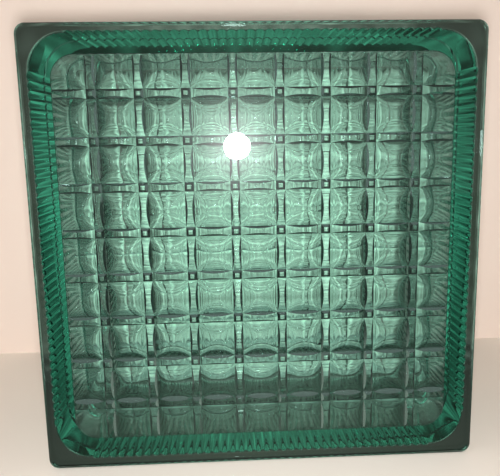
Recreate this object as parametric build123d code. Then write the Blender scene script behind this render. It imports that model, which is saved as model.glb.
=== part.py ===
"""Hollow pressed-glass wall block, standing upright on its bottom edge.

The block is two pressed half shells joined at mid depth by a heat-fused
seam. Each half is a face plate with a projecting rim, a ribbed side wall
and a relief of square dishes sunk into the inner side of the plate.

Millimetres. X is the width, Y the depth with the front face towards -Y,
Z is up. The origin is the bottom centre of the block.
"""
from build123d import *
from math import ceil
import os

# Overall block
block_size = 190.0
block_depth = 80.0
outline_radius = 4.5

# Rim of each face plate
rim_depth = 7.0
rim_front_radius = 2.2
rim_back_radius = 0.8

# Side wall with ribs that run along the depth
rib_groove_inset = 3.6
rib_rise = 0.9
rib_spacing = 3.84
wall_corner_radius = 14.6

# Wall thickness behind the rib grooves, thinner at the seam
wall_at_plate = 7.9
wall_at_seam = 6.4
hollow_radius_at_plate = 10.0
hollow_radius_at_seam = 10.6

# Relief sunk into the inner side of each plate, square dishes with steep bands
plate_at_ridges = 8.8
cell_pitch = 19.3
band_width = 4.0
cell_depth = 1.8
band_side_width = 1.1
band_side_depth = 1.95
band_depth = 2.1
relief_margin = 0.3

# Fused seam
bead_proud = 0.5
bead_half_width = 1.4
bead_radius = 0.45

half_depth = block_depth / 2
half_size = block_size / 2
groove_half = half_size - rib_groove_inset
crest_half = groove_half + rib_rise
ribbed_half = groove_half - wall_corner_radius
ribs_per_side = round(2 * ribbed_half / rib_spacing)
rib_pitch = 2 * ribbed_half / ribs_per_side
hollow_half_at_plate = groove_half - wall_at_plate
hollow_half_at_seam = groove_half - wall_at_seam
cell_width = cell_pitch - band_width
cells_per_side = ceil((2 * hollow_half_at_plate + band_width) / cell_pitch)


def prism(sketch, start, end):
    """Straight solid from depth start to depth end."""
    solid = extrude(sketch, amount=end - start)
    return Pos(0, start, 0) * (Rot(X=-90) * solid)


def ribbed_outline():
    """Closed outline of the side wall with convex ribs on its straight parts."""
    edges = []
    for turn in range(4):
        side = Rot(Z=90 * turn)
        for rib in range(ribs_per_side):
            x = -ribbed_half + rib * rib_pitch
            arc = ThreePointArc(
                (x, groove_half),
                (x + rib_pitch / 2, crest_half),
                (x + rib_pitch, groove_half),
            )
            edges.append(side * arc)
        reach = wall_corner_radius * 0.5 ** 0.5
        corner = ThreePointArc(
            (ribbed_half, groove_half),
            (ribbed_half + reach, ribbed_half + reach),
            (groove_half, ribbed_half),
        )
        edges.append(side * corner)
    return make_face(Wire(edges))


def relief_strips():
    """Solid with a row of sunk strips, wide dished cells with narrow bands between."""
    span = (cells_per_side * cell_pitch - band_width) / 2
    edges = []
    for cell in range(cells_per_side):
        x = -span + cell * cell_pitch
        end = x + cell_width
        edges.append(ThreePointArc((x, 0), (x + cell_width / 2, -cell_depth), (end, 0)))
        if cell < cells_per_side - 1:
            near = (end + band_side_width, -band_side_depth)
            far = (end + band_width - band_side_width, -band_side_depth)
            edges.append(Line((end, 0), near))
            edges.append(ThreePointArc(near, (end + band_width / 2, -band_depth), far))
            edges.append(Line(far, (end + band_width, 0)))
    root = plate_at_ridges / 4
    edges += Polyline((span, 0), (span, root), (-span, root), (-span, 0)).edges()
    strips = extrude(make_face(Wire(edges)), amount=span, both=True)
    return Pos(0, plate_at_ridges - half_depth, 0) * strips


def relief():
    """Square dishes and bands, clipped to the floor of the hollow."""
    upright = relief_strips()
    level = Rot(Y=90) * upright
    size = 2 * (hollow_half_at_plate - relief_margin)
    footprint = prism(
        RectangleRounded(size, size, hollow_radius_at_plate - relief_margin),
        -half_depth,
        0,
    )
    return upright & level & footprint


def hollow():
    """Tapered hollow with the relief sunk into its floor."""
    near = RectangleRounded(
        2 * hollow_half_at_plate, 2 * hollow_half_at_plate, hollow_radius_at_plate
    )
    far = RectangleRounded(
        2 * hollow_half_at_seam, 2 * hollow_half_at_seam, hollow_radius_at_seam
    )
    taper = loft([near, Pos(0, 0, half_depth - plate_at_ridges) * far])
    return Pos(0, plate_at_ridges - half_depth, 0) * (Rot(X=-90) * taper) + relief()


def half_shell():
    """Front half of the block, centred on the origin in width and height."""
    rim = prism(
        RectangleRounded(block_size, block_size, outline_radius),
        -half_depth,
        rim_depth - half_depth,
    )
    front_edges = rim.faces().sort_by(Axis.Y)[0].edges()
    rim = fillet(front_edges, rim_front_radius)
    back_edges = rim.faces().sort_by(Axis.Y)[-1].edges()
    rim = fillet(back_edges, rim_back_radius)
    wall = prism(ribbed_outline(), rim_depth / 2 - half_depth, 0)
    bead_size = 2 * (crest_half + bead_proud)
    bead = prism(
        RectangleRounded(bead_size, bead_size, wall_corner_radius + bead_proud),
        -bead_half_width,
        0,
    )
    bead = fillet(bead.faces().sort_by(Axis.Y)[0].edges(), bead_radius)
    return rim + wall + bead - hollow()


shell = half_shell()
front_half = Pos(0, 0, half_size) * shell
back_half = Pos(0, 0, half_size) * mirror(shell, about=Plane.XZ)

os.makedirs("parts", exist_ok=True)
for node, solid in (("front_half", front_half), ("back_half", back_half)):
    piece = solid.solids()[0] if len(solid.solids()) == 1 else solid
    export_step(piece, f"parts/{node}.step")
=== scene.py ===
"""Hollow wall block of green pressed glass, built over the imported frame."""
import bpy
import bmesh
import math
import numpy as np
from bpy.props import FloatProperty, FloatVectorProperty, IntProperty, PointerProperty
from bpy.types import Operator, Panel, PropertyGroup
from mathutils import Matrix, Vector


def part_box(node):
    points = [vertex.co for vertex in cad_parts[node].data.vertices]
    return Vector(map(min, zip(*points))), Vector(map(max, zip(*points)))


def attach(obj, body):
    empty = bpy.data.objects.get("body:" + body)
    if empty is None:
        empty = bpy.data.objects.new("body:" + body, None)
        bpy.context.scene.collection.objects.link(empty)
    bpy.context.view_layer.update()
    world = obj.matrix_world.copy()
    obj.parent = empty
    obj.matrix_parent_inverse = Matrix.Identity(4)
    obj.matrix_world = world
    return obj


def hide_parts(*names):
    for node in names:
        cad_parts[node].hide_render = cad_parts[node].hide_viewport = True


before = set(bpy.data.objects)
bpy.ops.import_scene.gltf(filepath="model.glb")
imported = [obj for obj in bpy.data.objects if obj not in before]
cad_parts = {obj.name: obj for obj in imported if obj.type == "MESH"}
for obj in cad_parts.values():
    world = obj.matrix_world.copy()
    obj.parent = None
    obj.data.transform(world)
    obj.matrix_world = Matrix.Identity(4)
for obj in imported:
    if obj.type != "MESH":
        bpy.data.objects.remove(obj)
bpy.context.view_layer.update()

bl_info = {
    "name": "Glass Wall Block",
    "version": (1, 0, 0),
    "blender": (4, 5, 0),
    "location": "View3D > Sidebar > Glass Block",
    "description": "Builds a hollow wall block of green pressed glass on a plain stage",
    "category": "Add Mesh",
}

MM = 0.001
FRONT_LOW, FRONT_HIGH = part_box("front_half")
HALF_SIZE = (FRONT_HIGH[2] - FRONT_LOW[2]) / 2
FACE = FRONT_LOW[1]
CENTRE_HEIGHT = FRONT_LOW[2] + HALF_SIZE

# Small radii and margins of the pressed shape
WALL_ROOT = 1.0 * MM
HOLLOW_ROOT = 0.6 * MM
RELIEF_MARGIN = 0.7 * MM
RELIEF_ROOT = 4.0 * MM

# Share of the hollow's taper by which its corner radius grows
HOLLOW_GROWTH = 0.4

# Grid steps across a cell and a band, and nudges that keep rounding
# from moving a point into the strip before its own
CELL_STEPS = 16
BAND_STEPS = 4.0
COLUMN_NUDGE = 0.01
GROOVE_NUDGE = 0.0001

# Points this close are one point, and edges over these degrees stay sharp
WELD = 0.0005 * MM
SKIN_CREASE = 24
HOLLOW_CREASE = 20

# Where the ribs end, then depth and share of its height along the seam bead
RIBS_END = -1.8 * MM
SEAM_BEAD = ((-1.3 * MM, 0.82), (-0.8 * MM, 1.0), (0.0, 0.94))

# Depth and inset of the rounded seam inside the hollow
HOLLOW_SEAM = ((-1.6 * MM, 0.0), (-0.7 * MM, 0.3 * MM), (0.0, 0.5 * MM))

# Surface of the glass: what a face lets through, ripple, haze and faint glow
GLASS_INDEX = 1.52
FACE_COLOUR = (0.94, 1.0, 0.985, 1.0)
RIPPLE_RISE = 0.02 * MM
HAZE_SPACING = 9.0 * MM
HAZE_ROUGHNESS = 0.12
GLOW_WEIGHT = 0.12
GLOW_ROUGHNESS = 0.25

# Camera, as the photograph was taken
CAMERA_PLACE = (-0.0086, -0.2818, 0.1455)
CAMERA_ANGLES = (80.366, 0.890, -2.761)
CAMERA_LENS = 42.07
CAMERA_SHIFT = (-0.03, -0.0102)

# Lamps: a small one beside the lens and a large soft one overhead
LENS_LAMP_PLACE = (-8.6 * MM, -290 * MM, 135.5 * MM)
LENS_LAMP_WATTS = 1.0
LENS_LAMP_SIZE = 0.022
SOFTBOX_PLACE = (-0.35, -0.55, 1.1)
SOFTBOX_WATTS = 2.6
SOFTBOX_SIZE = 1.3

# Pale room: what the camera and paper see is added to what glass sees
ROOM_COLOUR = (1.0, 0.97, 0.93, 1.0)
ROOM_SEEN = 0.68
ROOM_FILL = 0.17
ROOM_BASE = 0.18

# Distances of the stage's outer grid lines, and of the floor behind the backdrop
OUTER_LINES = [0.05 * 1.35 ** line - 0.04 for line in range(11)]
FLOOR_BEHIND = (0.5, 1.2)

# The small lamp's light and the block's shadow, painted on the stage as a glow that only glass
# sees
BEAM_POWER = 11
SHADE_STEPS = 60
SLOPE_STEP = 0.03 * MM
LIGHT_RAYS = 1200
LIGHT_CELL = 2.6 * MM
LIGHT_CELLS_HIGH = 104
LIGHT_CELLS_WIDE = 150
LIGHT_BLUR = (0.05, 0.25, 0.4, 0.25, 0.05)
LIGHT_CONTRAST = 3.4
LIGHT_NEIGHBOURS = range(-4, 5)
THROWN_PATH = 18 * MM
THROWN_SHARE = 0.8
THROWN_GAIN = (2.1, 3.4)
OPEN_GAIN = 0.75
# Green-tinted share of the light left in the block's painted shadow
PAINTED_SHADE_SHARE = (0.09, 0.17, 0.13)
BRIGHTEST = 2.6
ROOM_SHARE = 0.03


def linear(hex_colour):
    """Turn an sRGB hex colour into the linear RGBA that sockets take."""
    parts = [int(hex_colour[i:i + 2], 16) / 255 for i in (1, 3, 5)]
    turned = [p / 12.92 if p <= 0.04045 else ((p + 0.055) / 1.055) ** 2.4 for p in parts]
    return (*turned, 1.0)


def add_node(tree, kind, values=None, links=None, **settings):
    """Add one node, set its own fields and sockets, and link its inputs."""
    node = tree.nodes.new(kind)
    for name, value in settings.items():
        setattr(node, name, value)
    for key, value in (values or {}).items():
        node.inputs[key].default_value = value
    for key, source in (links or {}).items():
        tree.links.new(source, node.inputs[key])
    return node


def sums(tree):
    """Give a function that adds a math node to a tree and takes numbers or sockets."""
    def work(operation, *terms):
        node = add_node(tree, "ShaderNodeMath", operation=operation)
        for place, term in enumerate(terms):
            if isinstance(term, (int, float)):
                node.inputs[place].default_value = term
            else:
                tree.links.new(term, node.inputs[place])
        return node.outputs[0]
    return work


def length(name, description, millimetres):
    """Make a length property from its size in millimetres."""
    return FloatProperty(name=name, description=description, default=millimetres * MM,
                         min=0.0, unit="LENGTH", precision=5)


class GlassBlockSizes(PropertyGroup):
    """Sizes of the block that a maker would change."""
    outline_radius: length("Outline corner", "Corner radius of each face", 4.5)
    rim_depth: length("Rim depth", "Depth of the rim round each face", 7.0)
    rim_front_radius: length("Front edge", "Fire-polished radius of the front edge", 2.2)
    rim_back_radius: length("Back edge", "Radius of the rim's inner edge", 0.8)
    groove_inset: length("Groove inset", "Depth of the rib grooves below the rim", 3.6)
    rib_rise: length("Rib rise", "Height of the side ribs over their grooves", 0.9)
    rib_pitch: length("Rib pitch", "Spacing of the side ribs", 3.84)
    ribs: IntProperty(name="Ribs", description="Ribs on each side", default=40, min=1)
    bead: length("Seam bead", "How far the fused seam stands out of the ribs", 0.5)
    hollow_at_plate: length("Hollow at plate", "Half width of the hollow at a plate", 83.5)
    hollow_at_seam: length("Hollow at seam", "Half width of the hollow at the seam", 85.0)
    hollow_radius: length("Hollow corner", "Corner radius of the hollow at a plate", 10.0)
    plate: length("Plate", "Thickness of a plate at the ridges of its relief", 8.8)
    cells: IntProperty(name="Cells", description="Cells across the block", default=9, min=1)
    cell: length("Cell", "Width of a dished cell", 15.3)
    cell_depth: length("Cell depth", "How deep a cell is dished into the plate", 1.8)
    band: length("Band", "Width of the steep band between two cells", 4.0)
    band_side: length("Band side", "Width of each steep side of a band", 1.1)
    side_depth: length("Side depth", "Depth of a band at the foot of its sides", 1.95)
    band_depth: length("Band depth", "Depth of a band along its middle", 2.1)
    crease: FloatProperty(name="Crease", description="Sharpness of the creases in a cell",
                          default=5.0, min=1.0, max=12.0)


class GlassBlockFinish(PropertyGroup):
    """Colour of the glass and the grain of its surface."""
    tint: FloatVectorProperty(
        name="Tint", description="Colour that light takes on in thick glass",
        subtype="COLOR", size=4, min=0.0, max=1.0, default=linear("#59CFC0"))
    density: FloatProperty(
        name="Density", description="Strength of the tint for each metre of glass",
        default=40.0, min=0.0)
    ripple: length("Ripple", "Spacing of the faint ripples left by pressing", 14.0)


class GlassBlockStage(PropertyGroup):
    """Colours and distances of the stage."""
    floor: FloatVectorProperty(
        name="Floor", description="Colour of the floor", subtype="COLOR", size=4,
        min=0.0, max=1.0, default=linear("#F2E8DC"))
    backdrop: FloatVectorProperty(
        name="Backdrop", description="Colour of the backdrop", subtype="COLOR", size=4,
        min=0.0, max=1.0, default=linear("#F7E4D7"))
    gap: length("Backdrop distance", "From the front face to the backdrop", 147.0)


def square_ring(half, radius, bends=10):
    """Points round a rounded square, for a plain wall."""
    points = []
    for turn in range(4):
        spin = Matrix.Rotation(-math.pi / 2 * turn, 2)
        for step in range(bends + 1):
            angle = math.pi / 2 * step / bends
            out = Vector((math.sin(angle), math.cos(angle)))
            place = Vector((half - radius, half - radius)) + radius * out
            points.append((spin @ place, Vector((0, 0)), -1.0))
    return points


def ribbed_ring(sizes, half, radius, weight, rib_steps=5, spare=14):
    """Points round a rounded square, marked for the ribs on its straight sides.

    Every ring has the same number of points, so that rings can be bridged.
    Each point comes with its outward direction and its place along the ribs.
    """
    reach = sizes.rib_pitch * sizes.ribs / 2
    lead = half - radius - reach
    lead_steps = 3 if lead > 0.01 * MM else 0
    bends = spare - 2 * lead_steps
    points = []
    for turn in range(4):
        spin = Matrix.Rotation(-math.pi / 2 * turn, 2)
        row = []
        for step in range(sizes.ribs * rib_steps + 1):
            along = sizes.rib_pitch * step / rib_steps
            mark = along if weight > 0 else -1.0
            row.append((Vector((along - reach, half)), Vector((0, weight)), mark))
        for step in range(1, lead_steps + 1):
            x = reach + lead * step / lead_steps
            row.append((Vector((x, half)), Vector((0, 0)), -1.0))
        for step in range(1, bends):
            angle = math.pi / 2 * step / bends
            out = Vector((math.sin(angle), math.cos(angle)))
            place = Vector((half - radius, half - radius)) + radius * out
            row.append((place, Vector((0, 0)), -1.0))
        for step in range(lead_steps, 0, -1):
            y = reach + lead * step / lead_steps
            row.append((Vector((half, y)), Vector((0, 0)), -1.0))
        points += [(spin @ place, spin @ out, mark) for place, out, mark in row]
    return points


def tube(name, rings):
    """Closed mesh object through rings of points at rising depths."""
    verts, faces, outward, along = [], [], [], []
    for depth, ring in rings:
        for place, out, mark in ring:
            verts.append((place.x, depth, CENTRE_HEIGHT + place.y))
            outward += [out.x, 0.0, out.y]
            along.append(mark)
    count = len(rings[0][1])
    for level in range(len(rings) - 1):
        low, high = level * count, (level + 1) * count
        for i in range(count):
            j = (i + 1) % count
            faces.append((low + i, low + j, high + j, high + i))
    faces.append(tuple(range(count - 1, -1, -1)))
    faces.append(tuple(range(len(verts) - count, len(verts))))
    mesh = bpy.data.meshes.new(name)
    mesh.from_pydata(verts, [], faces)
    mesh.attributes.new("outward", "FLOAT_VECTOR", "POINT").data.foreach_set("vector", outward)
    mesh.attributes.new("along", "FLOAT", "POINT").data.foreach_set("value", along)
    return new_object(name, mesh)


def new_object(name, mesh):
    """Put a mesh in the scene as an object at the origin, faces outward."""
    piece = bpy.data.objects.new(name, mesh)
    bpy.context.scene.collection.objects.link(piece)
    turn_outward(mesh)
    return piece


def turn_outward(mesh, inside=False):
    """Merge a closed mesh's doubles and turn its faces outward, or inward."""
    work = bmesh.new()
    work.from_mesh(mesh)
    bmesh.ops.remove_doubles(work, verts=work.verts, dist=WELD)
    bmesh.ops.recalc_face_normals(work, faces=work.faces)
    if inside:
        bmesh.ops.reverse_faces(work, faces=work.faces)
    work.to_mesh(mesh)
    work.free()


def crease(mesh, degrees):
    """Shade a mesh smooth, with every edge over an angle kept sharp."""
    work = bmesh.new()
    work.from_mesh(mesh)
    for face in work.faces:
        face.smooth = True
    for edge in work.edges:
        edge.smooth = edge.calc_face_angle(0.0) < math.radians(degrees)
    work.to_mesh(mesh)
    work.free()


def settle(piece):
    """Turn an object's modifiers into its mesh."""
    graph = bpy.context.evaluated_depsgraph_get()
    mesh = bpy.data.meshes.new_from_object(piece.evaluated_get(graph))
    piece.modifiers.clear()
    piece.data = mesh


def discard(*pieces):
    """Delete construction objects."""
    for piece in pieces:
        bpy.data.objects.remove(piece)


def combine(piece, operation, *others):
    """Join, cut or intersect closed solids."""
    for other in others:
        modifier = piece.modifiers.new(other.name, "BOOLEAN")
        modifier.operation = operation
        modifier.solver = "MANIFOLD"
        modifier.object = other
    settle(piece)
    discard(*others)


def grow(piece, tree, values):
    """Run a geometry node tree on an object and keep the result as its mesh."""
    modifier = piece.modifiers.new(tree.name, "NODES")
    modifier.node_group = tree
    for item in tree.interface.items_tree:
        if item.item_type == "SOCKET" and item.in_out == "INPUT" and item.name in values:
            modifier[item.identifier] = values[item.name]
    settle(piece)


def open_tree(name, inputs):
    """Make a geometry node tree with named inputs, and return it with its sources."""
    tree = bpy.data.node_groups.new(name, "GeometryNodeTree")
    face = tree.interface
    face.new_socket("Geometry", in_out="INPUT", socket_type="NodeSocketGeometry")
    face.new_socket("Geometry", in_out="OUTPUT", socket_type="NodeSocketGeometry")
    for label, kind in inputs.items():
        face.new_socket(label, in_out="INPUT", socket_type="NodeSocket" + kind)
    return tree, add_node(tree, "NodeGroupInput").outputs


def close_tree(tree, geometry, material):
    """End a tree in Realize Instances and Set Material."""
    real = add_node(tree, "GeometryNodeRealizeInstances", links={0: geometry})
    dressed = add_node(tree, "GeometryNodeSetMaterial",
                       links={"Geometry": real.outputs[0], "Material": material})
    add_node(tree, "NodeGroupOutput", links={0: dressed.outputs[0]})
    return tree


def rib_tree():
    """Tree that raises convex ribs where the skin is marked for them."""
    tree, source = open_tree("Side ribs", {
        "Pitch": "Float", "Rise": "Float", "Material": "Material"})
    work = sums(tree)
    along = add_node(tree, "GeometryNodeInputNamedAttribute", values={"Name": "along"},
                     data_type="FLOAT").outputs[0]
    outward = add_node(tree, "GeometryNodeInputNamedAttribute", values={"Name": "outward"},
                       data_type="FLOAT_VECTOR").outputs[0]
    part = work("FRACT", work("ADD", work("DIVIDE", along, source["Pitch"]), GROOVE_NUDGE))
    swing = work("SUBTRACT", work("MULTIPLY", part, 2.0), 1.0)
    crown = work("SUBTRACT", 1.0, work("MULTIPLY", swing, swing))
    marked = work("GREATER_THAN", along, -0.5 * MM)
    lift = work("MULTIPLY", work("MULTIPLY", crown, marked), source["Rise"])
    offset = add_node(tree, "ShaderNodeVectorMath", operation="SCALE",
                      links={0: outward, "Scale": lift})
    moved = add_node(tree, "GeometryNodeSetPosition", links={
        "Geometry": source["Geometry"], "Offset": offset.outputs[0]})
    return close_tree(tree, moved.outputs[0], source["Material"])


def relief_tree():
    """Tree that makes a slab sunk into square dishes with steep bands between.

    Along each axis a cell is an arc and a band a trough. The shallower of
    the two axes decides the depth, and inside a cell the four faces that
    this gives run softly into each other. The slab sinks towards -Y.
    """
    tree, source = open_tree("Plate relief", {
        "Cells": "Int", "Cell steps": "Int", "Cell": "Float", "Cell depth": "Float",
        "Band": "Float", "Band side": "Float", "Side depth": "Float",
        "Band depth": "Float", "Crease": "Float", "Root": "Float", "Material": "Material"})
    work = sums(tree)
    period = work("ADD", source["Cell steps"], BAND_STEPS)
    columns = work("SUBTRACT", work("MULTIPLY", source["Cells"], period), BAND_STEPS)
    count = work("ADD", columns, 1.0)
    grid = add_node(tree, "GeometryNodeMeshGrid", links={
        "Size X": columns, "Size Y": columns, "Vertices X": count, "Vertices Y": count})
    place = add_node(tree, "GeometryNodeInputPosition").outputs[0]
    axes = add_node(tree, "ShaderNodeSeparateXYZ", links={0: place}).outputs
    pitch = work("ADD", source["Cell"], source["Band"])
    span = work("SUBTRACT", work("MULTIPLY", source["Cells"], pitch), source["Band"])
    half_band = work("MULTIPLY", source["Band"], 0.5)
    foot = work("SUBTRACT", source["Band depth"], source["Side depth"])

    def pick(test, if_true, if_false):
        switch = add_node(tree, "GeometryNodeSwitch", input_type="FLOAT", links={
            "Switch": test, "True": if_true, "False": if_false})
        return switch.outputs[0]

    def read(axis):
        """Which strip a grid line lies in along one axis, and its depth there."""
        column = work("ROUND", work("ADD", axis, work("MULTIPLY", columns, 0.5)))
        turn = work("FLOOR", work("DIVIDE", work("ADD", column, COLUMN_NUDGE), period))
        step = work("SUBTRACT", column, work("MULTIPLY", turn, period))
        in_cell = work("LESS_THAN", step, work("ADD", source["Cell steps"], 0.5))
        part = work("MINIMUM", work("DIVIDE", step, source["Cell steps"]), 1.0)
        swing = work("SUBTRACT", work("MULTIPLY", part, 2.0), 1.0)
        dish = work("MULTIPLY", source["Cell depth"],
                    work("SUBTRACT", 1.0, work("MULTIPLY", swing, swing)))
        notch = work("SUBTRACT", work("SUBTRACT", step, source["Cell steps"]),
                     BAND_STEPS / 2)
        trough = work("SUBTRACT", source["Band depth"],
                      work("MULTIPLY", work("ABSOLUTE", notch), foot))
        return (turn, part, notch, in_cell), pick(in_cell, dish, trough)

    def lay(own, other_depth):
        """Place of a grid line. A band's sides keep their slope, so their feet move."""
        turn, part, notch, in_cell = own
        reached = work("MINIMUM", work("DIVIDE", other_depth, source["Side depth"]), 1.0)
        side = work("MULTIPLY", source["Band side"], reached)
        foot_place = work("MULTIPLY", notch, work("SUBTRACT", half_band, side))
        trough_place = work("ADD", work("ADD", source["Cell"], half_band), foot_place)
        spot = pick(in_cell, work("MULTIPLY", part, source["Cell"]), trough_place)
        spot = work("ADD", spot, work("MULTIPLY", turn, pitch))
        return work("SUBTRACT", spot, work("MULTIPLY", span, 0.5))

    column, sink_across = read(axes[0])
    row, sink_up = read(axes[1])
    across, up = lay(column, sink_up), lay(row, sink_across)
    power = work("MULTIPLY", source["Crease"], -1.0)
    one = work("POWER", work("MAXIMUM", sink_across, 2 * WELD), power)
    other = work("POWER", work("MAXIMUM", sink_up, 2 * WELD), power)
    mean = work("MULTIPLY", work("ADD", one, other), 0.5)
    soft = work("POWER", mean, work("DIVIDE", 1.0, power))
    hard = work("MINIMUM", sink_across, sink_up)
    sink = pick(work("MULTIPLY", column[3], row[3]), soft, hard)
    spot = add_node(tree, "ShaderNodeCombineXYZ", links={
        0: across, 1: work("MULTIPLY", sink, -1.0), 2: up})
    top = add_node(tree, "GeometryNodeSetPosition", links={
        "Geometry": grid.outputs[0], "Position": spot.outputs[0]}).outputs[0]
    root = add_node(tree, "ShaderNodeCombineXYZ", links={1: source["Root"]}).outputs[0]
    body = add_node(tree, "GeometryNodeExtrudeMesh", mode="FACES",
                    values={"Individual": False}, links={"Mesh": top, "Offset": root})
    both = add_node(tree, "GeometryNodeJoinGeometry")
    tree.links.new(body.outputs[0], both.inputs[0])
    flipped = add_node(tree, "GeometryNodeFlipFaces", links={0: top})
    tree.links.new(flipped.outputs[0], both.inputs[0])
    merged = add_node(tree, "GeometryNodeMergeByDistance", values={"Distance": 2 * WELD},
                      links={"Geometry": both.outputs[0]})
    return close_tree(tree, merged.outputs[0], source["Material"])


def mirrored(rows):
    """Add the back half's rows to the front half's, which end at mid depth."""
    return rows + [(-row[0], *row[1:]) for row in rows[-2::-1]]


def bend(steps):
    """Sine and cosine through a quarter turn."""
    angles = [math.pi / 2 * step / steps for step in range(steps + 1)]
    return [(math.sin(angle), math.cos(angle)) for angle in angles]


def make_skin(sizes, glass):
    """Outside of the block: two rims, ribbed side walls and the fused seam."""
    groove = HALF_SIZE - sizes.groove_inset
    corner = groove - sizes.rib_pitch * sizes.ribs / 2
    rows = []
    for sine, cosine in bend(6):
        inset = sizes.rim_front_radius * (1 - sine)
        rows.append((FACE + sizes.rim_front_radius * (1 - cosine), HALF_SIZE - inset,
                     sizes.outline_radius - inset, 0.0))
    for sine, cosine in bend(3):
        inset = sizes.rim_back_radius * (1 - cosine)
        rows.append((FACE + sizes.rim_depth - sizes.rim_back_radius * (1 - sine),
                     HALF_SIZE - inset, sizes.outline_radius - inset, 0.0))
    for sine, cosine in bend(4):
        out = WALL_ROOT * (1 - sine)
        rows.append((FACE + sizes.rim_depth + WALL_ROOT * (1 - cosine), groove + out,
                     corner + out, sine))
    crest = sizes.rib_rise + sizes.bead
    rows.append((RIBS_END, groove, corner, 1.0))
    for depth, share in SEAM_BEAD:
        rows.append((depth, groove + crest * share, corner + crest * share, 0.0))
    rings = [(depth, ribbed_ring(sizes, half, radius, weight))
             for depth, half, radius, weight in mirrored(rows)]
    skin = tube("glass_block", rings)
    grow(skin, rib_tree(), {
        "Pitch": sizes.rib_pitch, "Rise": sizes.rib_rise, "Material": glass})
    crease(skin.data, SKIN_CREASE)
    return skin


def make_relief(sizes, glass):
    """Square dishes and steep bands, as the solid that they take from a plate."""
    relief = new_object("relief", bpy.data.meshes.new("relief"))
    grow(relief, relief_tree(), {
        "Cells": sizes.cells, "Cell steps": CELL_STEPS, "Cell": sizes.cell,
        "Cell depth": sizes.cell_depth, "Band": sizes.band,
        "Band side": sizes.band_side, "Side depth": sizes.side_depth,
        "Band depth": sizes.band_depth, "Crease": sizes.crease, "Root": RELIEF_ROOT,
        "Material": glass})
    relief.data.transform(Matrix.Translation((0, 0, CENTRE_HEIGHT)))
    turn_outward(relief.data)
    edge = square_ring(sizes.hollow_at_plate - RELIEF_MARGIN,
                       sizes.hollow_radius - RELIEF_MARGIN)
    footprint = tube("footprint", [(-RELIEF_ROOT, edge), (2 * RELIEF_ROOT, edge)])
    combine(relief, "INTERSECT", footprint)
    return relief


def make_hollow(sizes, glass):
    """Inside of the block: tapered walls with a relief on the floor at each end."""
    floor = FACE + sizes.plate
    taper = sizes.hollow_at_seam - sizes.hollow_at_plate
    grown = sizes.hollow_radius + taper * HOLLOW_GROWTH
    rows = []
    for sine, cosine in bend(3):
        inset = HOLLOW_ROOT * (1 - sine)
        rows.append((floor + HOLLOW_ROOT * (1 - cosine), sizes.hollow_at_plate - inset,
                     sizes.hollow_radius - inset))
    rows += [(depth, sizes.hollow_at_seam - inset, grown - inset)
             for depth, inset in HOLLOW_SEAM]
    hollow = tube("hollow", [(depth, square_ring(half, radius))
                             for depth, half, radius in mirrored(rows)])
    front = make_relief(sizes, glass)
    back = new_object("back_relief", front.data.copy())
    back.data.transform(Matrix.Translation((0, -floor, 0)) @ Matrix.Diagonal((1, -1, 1, 1)))
    turn_outward(back.data)
    front.data.transform(Matrix.Translation((0, floor, 0)))
    combine(hollow, "UNION", front, back)
    turn_outward(hollow.data, inside=True)
    crease(hollow.data, HOLLOW_CREASE)
    return hollow


def pressed_glass(finish):
    """Pressed soda-lime glass, green from the iron in its sand.

    Fire polish leaves it clear and glossy, with faint ripples where it
    chilled against the mould, and thick glass looks a deeper green.
    """
    material = bpy.data.materials.new("pressed_soda_lime_glass")
    material.use_nodes = True
    tree = material.node_tree
    tree.nodes.clear()
    work = sums(tree)
    place = add_node(tree, "ShaderNodeTexCoord").outputs["Object"]
    ripples = add_node(tree, "ShaderNodeTexNoise", links={"Vector": place}, values={
        "Scale": 1 / finish.ripple, "Detail": 2.0, "Roughness": 0.45})
    waves = add_node(tree, "ShaderNodeBump", links={"Height": ripples.outputs["Fac"]},
                     values={"Strength": 1.0, "Distance": RIPPLE_RISE})
    film = add_node(tree, "ShaderNodeTexNoise", links={"Vector": place}, values={
        "Scale": 1 / HAZE_SPACING, "Detail": 5.0, "Roughness": 0.6})
    spots = work("MAXIMUM", work("SUBTRACT", film.outputs["Fac"], 0.5), 0.0)
    haze = work("MULTIPLY", spots, HAZE_ROUGHNESS)
    shader = add_node(tree, "ShaderNodeBsdfPrincipled", values={
        "Base Color": FACE_COLOUR, "Transmission Weight": 1.0, "IOR": GLASS_INDEX,
        "Coat Weight": GLOW_WEIGHT, "Coat Roughness": GLOW_ROUGHNESS},
        links={"Roughness": haze, "Normal": waves.outputs[0]})
    depth = add_node(tree, "ShaderNodeVolumeAbsorption", values={
        "Color": tuple(finish.tint), "Density": finish.density})
    add_node(tree, "ShaderNodeOutputMaterial", links={
        "Surface": shader.outputs[0], "Volume": depth.outputs[0]})
    return material


class GLASSBLOCK_OT_block(Operator):
    """Build the fused glass block over its two pressed halves"""
    bl_idname = "glassblock.block"
    bl_label = "Glass block"

    def execute(self, context):
        sizes = context.scene.glass_block_sizes
        glass = pressed_glass(context.scene.glass_block_finish)
        block = make_skin(sizes, glass)
        hollow = make_hollow(sizes, glass)
        work = bmesh.new()
        work.from_mesh(block.data)
        work.from_mesh(hollow.data)
        work.to_mesh(block.data)
        work.free()
        discard(hollow)
        even = block.modifiers.new("flat_faces_stay_flat", "WEIGHTED_NORMAL")
        even.keep_sharp = True
        settle(block)
        for name in ("along", "outward"):
            block.data.attributes.remove(block.data.attributes[name])
        block.data.materials.clear()
        block.data.materials.append(glass)
        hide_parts("front_half", "back_half")
        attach(block, "root")
        return {"FINISHED"}


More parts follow.
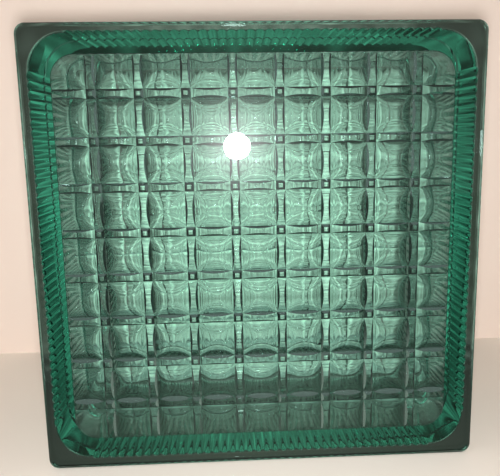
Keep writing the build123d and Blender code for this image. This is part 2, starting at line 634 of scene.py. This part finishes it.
def sink_at(sizes, x, z):
    """Depth of the relief at points on a plate, as the relief tree makes it."""
    def along(value):
        pitch = sizes.cell + sizes.band
        place = np.mod(value + (sizes.cells * pitch - sizes.band) / 2, pitch)
        in_cell = place < sizes.cell
        swing = 2 * place / sizes.cell - 1
        off = np.abs(place - sizes.cell - sizes.band / 2)
        foot = (sizes.band_depth - sizes.side_depth) / (sizes.band / 2 - sizes.band_side)
        trough = np.minimum((sizes.band / 2 - off) / sizes.band_side * sizes.side_depth,
                            sizes.band_depth - foot * off)
        return in_cell, np.where(in_cell, sizes.cell_depth * (1 - swing ** 2), trough)
    cell_across, across = along(x)
    cell_up, up = along(z)
    low, high = np.minimum(across, up), np.maximum(across, up)
    ratio = np.clip(low, 1e-9, None) / np.clip(high, 1e-9, None)
    soft = low * (0.5 * (1 + ratio ** sizes.crease)) ** (-1 / sizes.crease)
    return np.where(cell_across & cell_up, soft, low)


def bent(heading, normal, ratio):
    """Headings of rays after a surface, and which of them pass it."""
    cosine = -(heading * normal).sum(-1, keepdims=True)
    rest = 1 - ratio ** 2 * (1 - cosine ** 2)
    turned = ratio * heading + (ratio * cosine - np.sqrt(np.clip(rest, 0, None))) * normal
    return turned, rest[:, 0] > 0


def relief_normal(sizes, spot, side):
    """Normals of a plate's relief against rays that travel along +Y."""
    x, z = spot[:, 0], spot[:, 2] - CENTRE_HEIGHT
    slope_x = sink_at(sizes, x + SLOPE_STEP, z) - sink_at(sizes, x - SLOPE_STEP, z)
    slope_z = sink_at(sizes, x, z + SLOPE_STEP) - sink_at(sizes, x, z - SLOPE_STEP)
    run = np.full_like(slope_x, 2 * SLOPE_STEP)
    normal = -np.stack([side * slope_x, run, side * slope_z], 1)
    return normal / np.linalg.norm(normal, axis=1, keepdims=True)


def through_block(sizes, start, heading):
    """Follow rays through both plates. Gives exits, headings and which get through.

    The point where a ray meets a relief is found in a few turns, more of
    them at the back plate, which rays reach on a slant.
    """
    flat = np.repeat([[0.0, -1.0, 0.0]], len(start), 0)
    index = GLASS_INDEX
    heading, open_way = bent(heading, flat, 1 / index)
    spot = start
    for side, surface, ratio, turns in ((1, FACE + sizes.plate, index, 4),
                                        (-1, -FACE - sizes.plate, 1 / index, 6)):
        depth = np.full(len(start), surface)
        begin = spot
        for _ in range(turns):
            spot = begin + heading * ((depth - begin[:, 1]) / heading[:, 1])[:, None]
            found = surface - side * sink_at(sizes, spot[:, 0], spot[:, 2] - CENTRE_HEIGHT)
            depth = (depth + found) / 2 if side < 0 else found
        edge = np.maximum(np.abs(spot[:, 0]), np.abs(spot[:, 2] - CENTRE_HEIGHT))
        heading, passed = bent(heading, relief_normal(sizes, spot, side), ratio)
        open_way &= passed & (edge < sizes.hollow_at_plate) & (heading[:, 1] > 0.1)
        heading[:, 1] = np.maximum(heading[:, 1], 0.1)
    spot = spot + heading * ((-FACE - spot[:, 1]) / heading[:, 1])[:, None]
    heading, passed = bent(heading, flat, index)
    return spot, heading, open_way & passed & (heading[:, 1] > 0.02)


def beam(heading, source):
    """How a small lamp aimed at the block dims away from the middle of its beam."""
    axis = np.array([0.0, 0.0, CENTRE_HEIGHT]) - source
    return np.clip(heading @ (axis / np.linalg.norm(axis)), 0.0, 1.0) ** BEAM_POWER


def painted_lamplight(sizes, finish, source, back):
    """Painted light: what a small lamp would leave on the backdrop and the floor behind the
    block.

    Rays run from the lamp through the relief and are counted where they
    land, so that the light painted on the stage shows the pattern that pressed glass throws.
    """
    shape = (LIGHT_CELLS_HIGH, LIGHT_CELLS_WIDE)
    ticks = (np.arange(LIGHT_RAYS) + 0.5) / LIGHT_RAYS * 2 - 1
    reach = sizes.hollow_at_plate
    counts = [np.zeros(shape[0] * shape[1]), np.zeros(shape[0] * shape[1])]
    for part in np.array_split(ticks * reach, 4):
        across, up = np.meshgrid(part, ticks * reach + CENTRE_HEIGHT)
        start = np.stack([across.ravel(), np.full(across.size, FACE), up.ravel()], 1)
        heading = start - source
        far = np.linalg.norm(heading, axis=1)
        heading /= far[:, None]
        area = (2 * reach / LIGHT_RAYS) ** 2
        power = heading[:, 1] / far ** 2 * area * beam(heading, source)
        spot, heading, passed = through_block(sizes, start, heading)
        wall = spot + heading * ((back - spot[:, 1]) / heading[:, 1])[:, None]
        drop = np.minimum(heading[:, 2], -1e-6)
        floor = spot + heading * (-spot[:, 2] / drop)[:, None]
        on_floor = wall[:, 2] < 0
        for place, point, row, land in ((0, wall, wall[:, 2], passed & ~on_floor),
                                        (1, floor, back - floor[:, 1], passed & on_floor)):
            column, line, inside = light_cell(point[:, 0], row)
            land = land & inside
            counts[place] += np.bincount(line[land] * shape[1] + column[land],
                                         weights=power[land], minlength=len(counts[place]))
    maps = []
    for count in counts:
        light = count.reshape(shape) / LIGHT_CELL ** 2
        for axis in (0, 1, 0, 1):
            light = sum(w * np.roll(light, k - 2, axis) for k, w in enumerate(LIGHT_BLUR))
        local = light
        for axis in (0, 1):
            near = [np.roll(local, k, axis) for k in LIGHT_NEIGHBOURS]
            local = sum(near) / len(near)
        maps.append(np.clip(local + LIGHT_CONTRAST * (light - local), 0.0, None))
    tint = [math.exp(-finish.density * (1 - c) * THROWN_PATH) for c in finish.tint[:3]]
    return maps, np.array(tint) * THROWN_SHARE


def light_cell(across, row):
    """Column and line of the light map at points of the stage, and which lie in it."""
    column = np.clip(across / LIGHT_CELL + LIGHT_CELLS_WIDE / 2, -1, LIGHT_CELLS_WIDE)
    line = np.clip(row / LIGHT_CELL, -1, LIGHT_CELLS_HIGH)
    column, line = column.astype(int), line.astype(int)
    inside = ((column >= 0) & (column < LIGHT_CELLS_WIDE)
              & (line >= 0) & (line < LIGHT_CELLS_HIGH))
    return column, line, inside


def open_light(points, normal, source):
    """Painted light of a small lamp at points of the stage, with a painted shadow where the
    block is in its way.
    """
    toward = points - source
    far = np.linalg.norm(toward, axis=1)
    light = np.abs(toward @ np.array(normal)) / far ** 3 * beam(toward / far[:, None], source)
    shade = np.zeros(len(points), bool)
    for share in np.linspace(0.5, 1.0, SHADE_STEPS):
        x, y, z = (source + toward * share).T
        shade |= ((np.abs(x) < HALF_SIZE) & (np.abs(y) < -FACE)
                  & (np.abs(z - CENTRE_HEIGHT) < HALF_SIZE))
    # Where the block is in the way, the light is cut to a green-tinted painted shadow
    return light[:, None] * np.where(shade[:, None], [PAINTED_SHADE_SHARE], 1.0)


def stage_material(name, colour, one_sided):
    """Matt pale paper, with the lens-side lamp's light and the block's shadow painted on for
    glass to see.

    Glossy and transmission rays see that painted light as a glow from the surface, and
    every other ray finds plain paper under the lamps.
    """
    material = bpy.data.materials.new(name)
    material.use_nodes = True
    tree = material.node_tree
    tree.nodes.clear()
    work = sums(tree)
    paper = add_node(tree, "ShaderNodeBsdfDiffuse", values={"Color": colour})
    # Painted light and shadow: the stored light colour times the paper, shown as an emission
    # glow
    light = add_node(tree, "ShaderNodeAttribute", attribute_name="painted_lamplight")
    lit = add_node(tree, "ShaderNodeMix", values={0: 1.0, 7: colour},
                   links={6: light.outputs["Color"]}, data_type="RGBA", blend_type="MULTIPLY")
    glow = add_node(tree, "ShaderNodeEmission", links={"Color": lit.outputs[2]})
    path = add_node(tree, "ShaderNodeLightPath").outputs
    through = work("MAXIMUM", path["Is Glossy Ray"], path["Is Transmission Ray"])
    shown = add_node(tree, "ShaderNodeMixShader", links={
        0: through, 1: paper.outputs[0], 2: glow.outputs[0]}).outputs[0]
    if one_sided:
        clear = add_node(tree, "ShaderNodeBsdfTransparent").outputs[0]
        behind = add_node(tree, "ShaderNodeNewGeometry").outputs["Backfacing"]
        shown = add_node(tree, "ShaderNodeMixShader", links={
            0: behind, 1: shown, 2: clear}).outputs[0]
    add_node(tree, "ShaderNodeOutputMaterial", links={"Surface": shown})
    return material


def sheet(name, columns, rows, place, lights, material):
    """Flat stage surface on a grid of lines, with the lamp's light and the block's shadow
    painted at each crossing.
    """
    across, along = np.meshgrid(columns, rows)
    points = place(across.ravel(), along.ravel())
    wide = len(columns)
    faces = [(r * wide + c, r * wide + c + 1, (r + 1) * wide + c + 1, (r + 1) * wide + c)
             for r in range(len(rows) - 1) for c in range(wide - 1)]
    mesh = bpy.data.meshes.new(name)
    mesh.from_pydata(points.tolist(), [], faces)
    # Painted light and shadow, stored as a colour at each crossing
    colours = np.concatenate([lights(points), np.ones((len(points), 1))], 1)
    mesh.attributes.new("painted_lamplight", "FLOAT_COLOR", "POINT").data.foreach_set(
        "color", colours.ravel())
    mesh.materials.append(material)
    surface = bpy.data.objects.new(name, mesh)
    bpy.context.scene.collection.objects.link(surface)
    return surface


def lamp(name, kind, place, target, watts, size):
    """Area lamp that looks at a point."""
    data = bpy.data.lights.new(name, "AREA")
    data.shape = kind
    data.size = size
    data.energy = watts
    lit = bpy.data.objects.new(name, data)
    bpy.context.scene.collection.objects.link(lit)
    lit.location = place
    aim = Vector(target) - Vector(place)
    lit.rotation_euler = aim.to_track_quat("-Z", "Y").to_euler()
    return lit


class GLASSBLOCK_OT_stage(Operator):
    """Set out the floor, the backdrop, the lamps and the camera"""
    bl_idname = "glassblock.stage"
    bl_label = "Stage"

    def execute(self, context):
        stage = context.scene.glass_block_stage
        self.lay_paper(context, stage, FACE + stage.gap)
        self.add_world(context)
        middle = (0.0, 0.0, CENTRE_HEIGHT)
        lamp("lens_side_lamp", "DISK", LENS_LAMP_PLACE, middle, LENS_LAMP_WATTS,
             LENS_LAMP_SIZE)
        softbox = lamp("overhead_softbox", "SQUARE", SOFTBOX_PLACE, middle, SOFTBOX_WATTS,
                       SOFTBOX_SIZE)
        softbox.visible_glossy = False
        softbox.visible_transmission = False
        self.add_camera(context)
        return {"FINISHED"}

    def lay_paper(self, context, stage, back):
        """Floor and backdrop, with painted light for what comes through the block and a
        painted shadow of the block.
        """
        source = np.array(LENS_LAMP_PLACE)
        maps, tint = painted_lamplight(context.scene.glass_block_sizes,
                               context.scene.glass_block_finish, source, back)
        full = (back - source[1]) ** 2

        # Painted light at stage points: the pattern thrown through the block, the lamp's open
        # light with the block's painted shadow, and a little room light
        def lights(place, row, normal):
            def light(points):
                column, line, inside = light_cell(points[:, 0], row(points))
                found = maps[place][np.clip(line, 0, LIGHT_CELLS_HIGH - 1),
                                    np.clip(column, 0, LIGHT_CELLS_WIDE - 1)]
                thrown = np.where(inside, found, 0.0)[:, None] * tint * THROWN_GAIN[place]
                plain = open_light(points, normal, source) * OPEN_GAIN
                return np.clip((thrown + plain) * full, 0, BRIGHTEST) + ROOM_SHARE
            return light

        half = LIGHT_CELLS_WIDE / 2 * LIGHT_CELL
        fine = np.arange(-half, half + LIGHT_CELL / 2, LIGHT_CELL)
        outer = np.array(OUTER_LINES)
        columns = np.concatenate([-half - outer[::-1], fine, half + outer])
        high = LIGHT_CELLS_HIGH * LIGHT_CELL
        rows = np.concatenate([np.arange(0, high, LIGHT_CELL), high + outer])
        sheet("backdrop", columns, rows,
              lambda x, z: np.stack([x, np.full_like(x, back), z], 1),
              lights(0, lambda points: points[:, 2], (0, 1, 0)),
              stage_material("backdrop_paper_painted_light", tuple(stage.backdrop), True))
        rows = np.concatenate([back - rows[::-1], back + np.array(FLOOR_BEHIND)])
        sheet("floor", columns, rows,
              lambda x, y: np.stack([x, y, np.zeros_like(x)], 1),
              lights(1, lambda points: back - points[:, 1], (0, 0, 1)),
              stage_material("floor_paper_painted_light", tuple(stage.floor), False))

    def add_world(self, context):
        """Pale surround, kept dim where glass looks at it."""
        world = bpy.data.worlds.new("pale_room")
        context.scene.world = world
        world.use_nodes = True
        tree = world.node_tree
        tree.nodes.clear()
        work = sums(tree)
        path = add_node(tree, "ShaderNodeLightPath").outputs
        seen = work("MULTIPLY", path["Is Camera Ray"], ROOM_SEEN)
        fill = work("MULTIPLY", path["Is Diffuse Ray"], ROOM_FILL)
        strength = work("ADD", work("ADD", seen, fill), ROOM_BASE)
        room = add_node(tree, "ShaderNodeBackground", values={"Color": ROOM_COLOUR},
                        links={"Strength": strength})
        add_node(tree, "ShaderNodeOutputWorld", links={"Surface": room.outputs[0]})

    def add_camera(self, context):
        """Camera where the photograph was taken from."""
        data = bpy.data.cameras.new("camera")
        data.sensor_width = 36.0
        data.lens = CAMERA_LENS
        data.shift_x, data.shift_y = CAMERA_SHIFT
        data.clip_start = 0.002
        camera = bpy.data.objects.new("camera", data)
        context.scene.collection.objects.link(camera)
        camera.location = CAMERA_PLACE
        camera.rotation_euler = [math.radians(angle) for angle in CAMERA_ANGLES]
        context.scene.camera = camera
        context.scene.view_settings.view_transform = "Standard"
        paths = context.scene.cycles
        paths.max_bounces = 13
        paths.transmission_bounces = 13
        paths.glossy_bounces = 8


class GLASSBLOCK_PT_tools(Panel):
    """Lists the pieces of the glass block"""
    bl_idname = "GLASSBLOCK_PT_tools"
    bl_label = "Glass Block"
    bl_space_type = "VIEW_3D"
    bl_region_type = "UI"
    bl_category = "Glass Block"

    def draw(self, context):
        for operator in OPERATORS:
            self.layout.operator(operator.bl_idname)
        for group in PROPERTY_GROUPS:
            held = getattr(context.scene, group)
            for name in held.bl_rna.properties.keys():
                if name not in ("rna_type", "name"):
                    self.layout.prop(held, name)


PROPERTY_GROUPS = {
    "glass_block_sizes": GlassBlockSizes,
    "glass_block_finish": GlassBlockFinish,
    "glass_block_stage": GlassBlockStage,
}
OPERATORS = (GLASSBLOCK_OT_block, GLASSBLOCK_OT_stage)


def register():
    """Register the classes and hang the property groups on the scene."""
    for item in (*PROPERTY_GROUPS.values(), *OPERATORS, GLASSBLOCK_PT_tools):
        bpy.utils.register_class(item)
    for name, group in PROPERTY_GROUPS.items():
        setattr(bpy.types.Scene, name, PointerProperty(type=group))


def unregister():
    """Take the property groups off the scene and unregister the classes."""
    for name in PROPERTY_GROUPS:
        delattr(bpy.types.Scene, name)
    for item in (GLASSBLOCK_PT_tools, *OPERATORS, *PROPERTY_GROUPS.values()):
        bpy.utils.unregister_class(item)


def main():
    """Build everything in order."""
    register()
    for operator in OPERATORS:
        family, name = operator.bl_idname.split(".")
        getattr(getattr(bpy.ops, family), name)()


if __name__ == "__main__":
    main()
